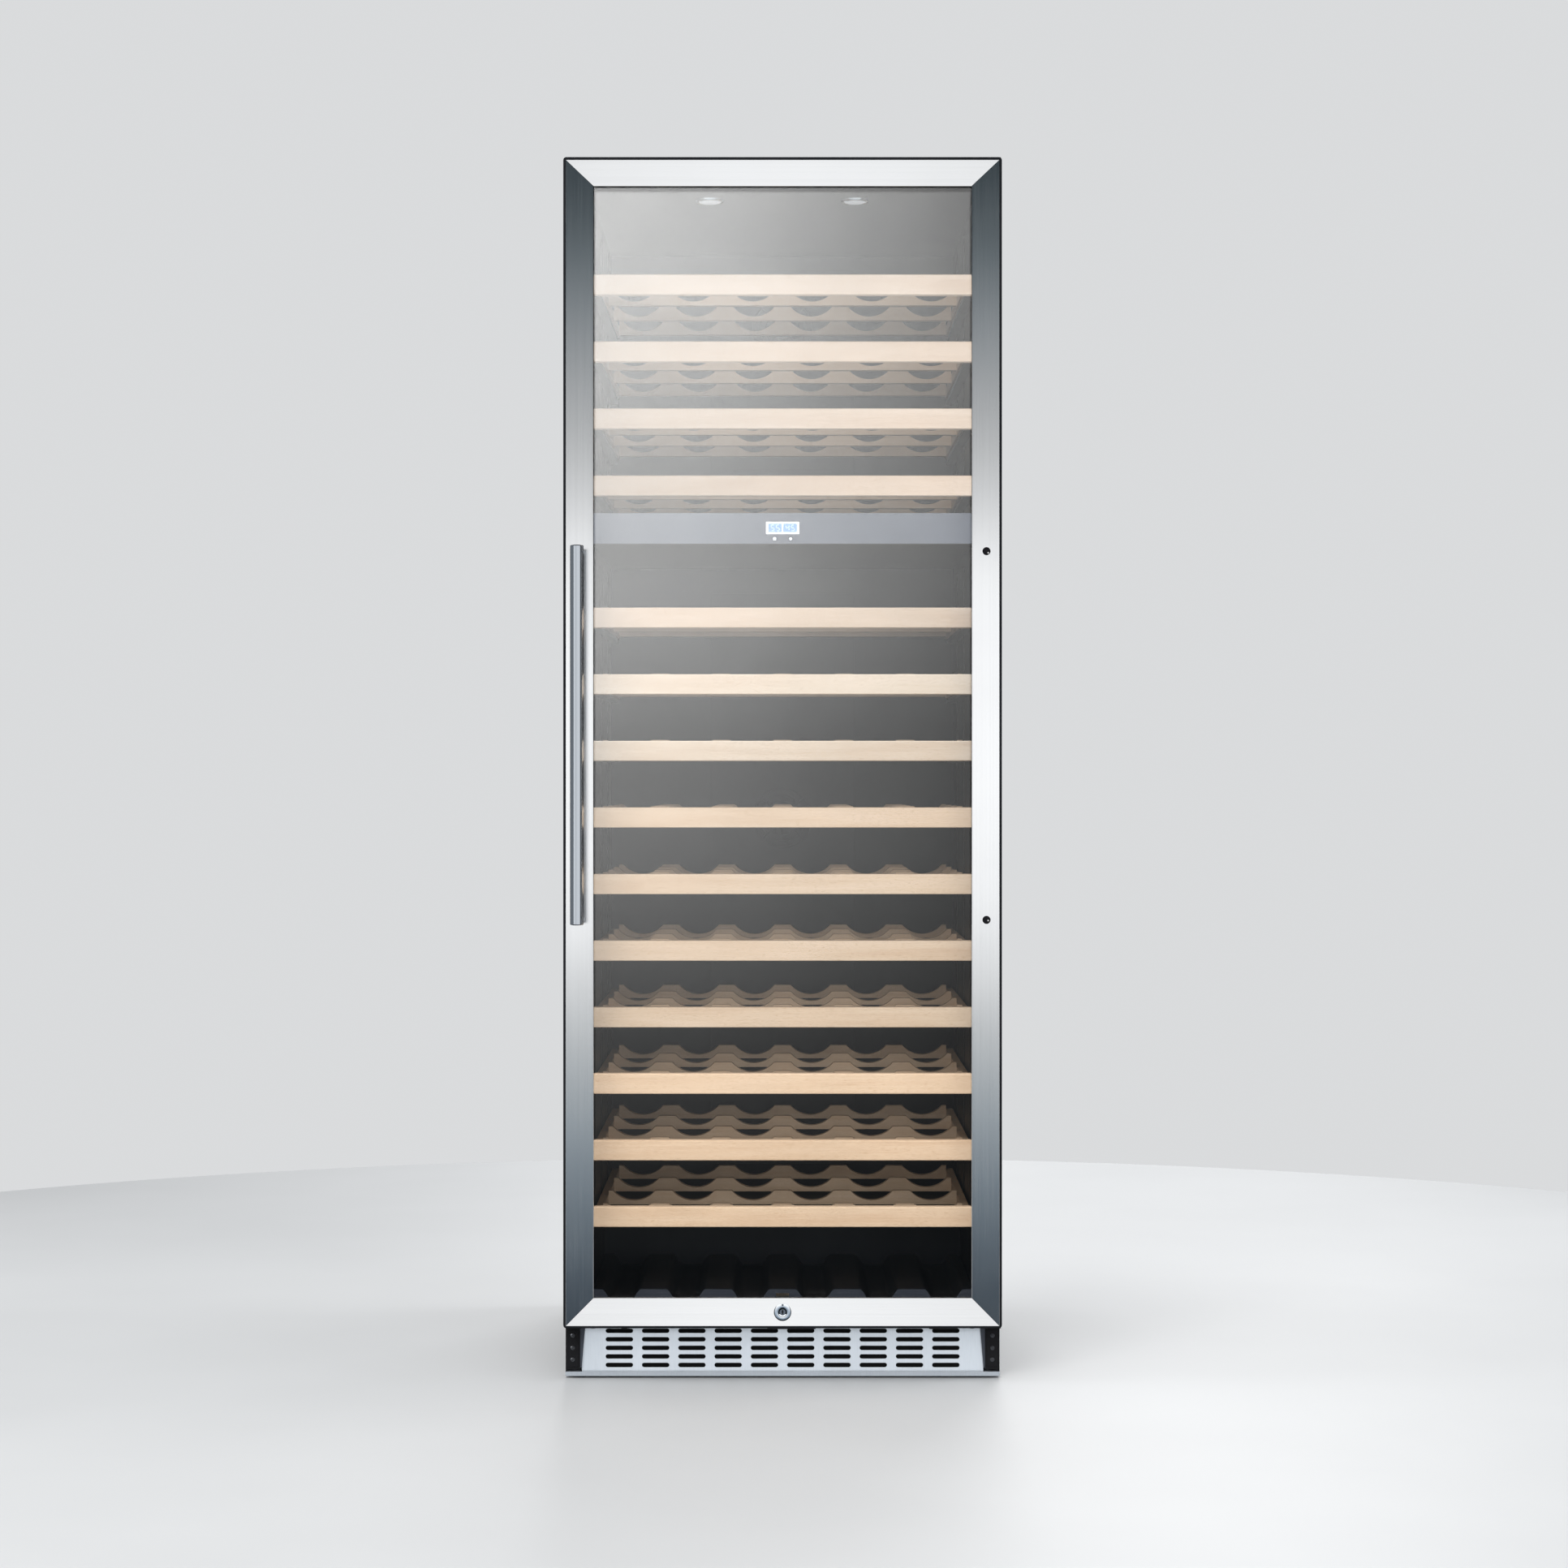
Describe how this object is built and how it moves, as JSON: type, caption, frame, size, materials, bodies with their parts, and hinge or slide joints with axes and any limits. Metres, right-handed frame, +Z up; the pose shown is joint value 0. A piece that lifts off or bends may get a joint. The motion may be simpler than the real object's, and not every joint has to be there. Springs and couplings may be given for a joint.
{
  "type": "wine cooler",
  "caption": "Tall built-in dual-zone wine cooler with a glass door in a brushed steel surround, bar handle, lock, sliding wooden shelves and slotted kick grille.",
  "frame": {"origin": "on the floor, under the middle of the bounding box", "axes": "+Z up, +X to the right when facing the door, +Y from the door to the back"},
  "size_m": [0.595, 0.709, 1.665],
  "materials": {
    "black_case": "satin",
    "silver_sheet": "satin",
    "black_plastic": "satin",
    "liner_black": "satin",
    "foam": "matte",
    "panel_grey": "satin",
    "display": "gloss",
    "lamp": "satin",
    "brushed_steel": "satin",
    "chrome": "polished",
    "door_glass": "gloss",
    "rubber": "matte",
    "beech": "satin"
  },
  "bodies": {
    "cabinet": {"left_side_panel": "black_case", "right_side_panel": "black_case", "top_panel": "black_case", "hinge_bracket_upper": "black_case", "hinge_bracket_lower": "black_case", "corner_bracket_left": "black_case", "compressor": "black_case", "rear_panel": "silver_sheet", "base_plate": "silver_sheet", "kick_grille": "silver_sheet", "condenser": "silver_sheet", "lock_keeper": "silver_sheet", "foot_front_left": "black_plastic", "foot_front_right": "black_plastic", "foot_rear_left": "black_plastic", "foot_rear_right": "black_plastic", "inner_liner": "liner_black", "zone_divider": "liner_black", "bottle_cradle": "liner_black", "upper_air_duct": "liner_black", "lower_air_duct": "liner_black", "insulation": "foam", "control_panel": "panel_grey", "display_lens": "display", "lamp_left": "lamp", "lamp_right": "lamp", "cord_gland": "rubber"},
    "door": {"door_frame": "black_case", "door_trim_bottom": "brushed_steel", "door_trim_top": "brushed_steel", "door_trim_left": "brushed_steel", "door_trim_right": "brushed_steel", "outer_glass": "door_glass", "inner_glass": "door_glass", "glass_spacer": "black_plastic", "door_gasket": "rubber", "door_handle": "brushed_steel", "hole_plug_lower": "black_plastic", "hole_plug_upper": "black_plastic", "lock_housing": "chrome"},
    "lock_cylinder": {"lock_cylinder": "chrome"},
    "light_button": {"light_button": "panel_grey"},
    "set_button": {"set_button": "panel_grey"},
    "upper_fan": {"upper_fan": "black_plastic"},
    "lower_fan": {"lower_fan": "black_plastic"},
    "condenser_fan": {"condenser_fan": "black_plastic"},
    "shelf_01": {"shelf_01": "beech"},
    "shelf_02": {"shelf_02": "beech"},
    "shelf_03": {"shelf_03": "beech"},
    "shelf_04": {"shelf_04": "beech"},
    "shelf_05": {"shelf_05": "beech"},
    "shelf_06": {"shelf_06": "beech"},
    "shelf_07": {"shelf_07": "beech"},
    "shelf_08": {"shelf_08": "beech"},
    "shelf_09": {"shelf_09": "beech"},
    "shelf_10": {"shelf_10": "beech"},
    "shelf_11": {"shelf_11": "beech"},
    "shelf_12": {"shelf_12": "beech"},
    "shelf_13": {"shelf_13": "beech"},
    "shelf_14": {"shelf_14": "beech"}
  },
  "joints": [
    {"name": "door_hinge", "type": "hinge", "parent": "cabinet", "child": "door", "pos_m": [0.2835, -0.2835, 0.868], "axis": [0, 0, 1], "range_deg": [0, 110]},
    {"name": "lock_turn", "type": "hinge", "parent": "door", "child": "lock_cylinder", "pos_m": [0, -0.285, 0.096], "axis": [0, 1, 0], "range_deg": [0, 90]},
    {"name": "light_button_press", "type": "slide", "parent": "cabinet", "child": "light_button", "axis": [0, 1, 0], "range_m": [0, 0.0008], "stiffness_N_per_m": 400},
    {"name": "set_button_press", "type": "slide", "parent": "cabinet", "child": "set_button", "axis": [0, 1, 0], "range_m": [0, 0.0008], "stiffness_N_per_m": 400},
    {"name": "upper_fan_spin", "type": "hinge", "parent": "cabinet", "child": "upper_fan", "pos_m": [0, 0.2905, 1.51], "axis": [0, 1, 0], "continuous": true},
    {"name": "lower_fan_spin", "type": "hinge", "parent": "cabinet", "child": "lower_fan", "pos_m": [0, 0.2905, 0.76], "axis": [0, 1, 0], "continuous": true},
    {"name": "condenser_fan_spin", "type": "hinge", "parent": "cabinet", "child": "condenser_fan", "pos_m": [-0.07, 0.245, 0.08], "axis": [1, 0, 0], "continuous": true},
    {"name": "shelf_01_slide", "type": "slide", "parent": "cabinet", "child": "shelf_01", "axis": [0, -1, 0], "range_m": [0, 0.04]},
    {"name": "shelf_02_slide", "type": "slide", "parent": "cabinet", "child": "shelf_02", "axis": [0, -1, 0], "range_m": [0, 0.04]},
    {"name": "shelf_03_slide", "type": "slide", "parent": "cabinet", "child": "shelf_03", "axis": [0, -1, 0], "range_m": [0, 0.04]},
    {"name": "shelf_04_slide", "type": "slide", "parent": "cabinet", "child": "shelf_04", "axis": [0, -1, 0], "range_m": [0, 0.04]},
    {"name": "shelf_05_slide", "type": "slide", "parent": "cabinet", "child": "shelf_05", "axis": [0, -1, 0], "range_m": [0, 0.04]},
    {"name": "shelf_06_slide", "type": "slide", "parent": "cabinet", "child": "shelf_06", "axis": [0, -1, 0], "range_m": [0, 0.04]},
    {"name": "shelf_07_slide", "type": "slide", "parent": "cabinet", "child": "shelf_07", "axis": [0, -1, 0], "range_m": [0, 0.04]},
    {"name": "shelf_08_slide", "type": "slide", "parent": "cabinet", "child": "shelf_08", "axis": [0, -1, 0], "range_m": [0, 0.04]},
    {"name": "shelf_09_slide", "type": "slide", "parent": "cabinet", "child": "shelf_09", "axis": [0, -1, 0], "range_m": [0, 0.04]},
    {"name": "shelf_10_slide", "type": "slide", "parent": "cabinet", "child": "shelf_10", "axis": [0, -1, 0], "range_m": [0, 0.04]},
    {"name": "shelf_11_slide", "type": "slide", "parent": "cabinet", "child": "shelf_11", "axis": [0, -1, 0], "range_m": [0, 0.04]},
    {"name": "shelf_12_slide", "type": "slide", "parent": "cabinet", "child": "shelf_12", "axis": [0, -1, 0], "range_m": [0, 0.04]},
    {"name": "shelf_13_slide", "type": "slide", "parent": "cabinet", "child": "shelf_13", "axis": [0, -1, 0], "range_m": [0, 0.04]},
    {"name": "shelf_14_slide", "type": "slide", "parent": "cabinet", "child": "shelf_14", "axis": [0, -1, 0], "range_m": [0, 0.04]}
  ]
}
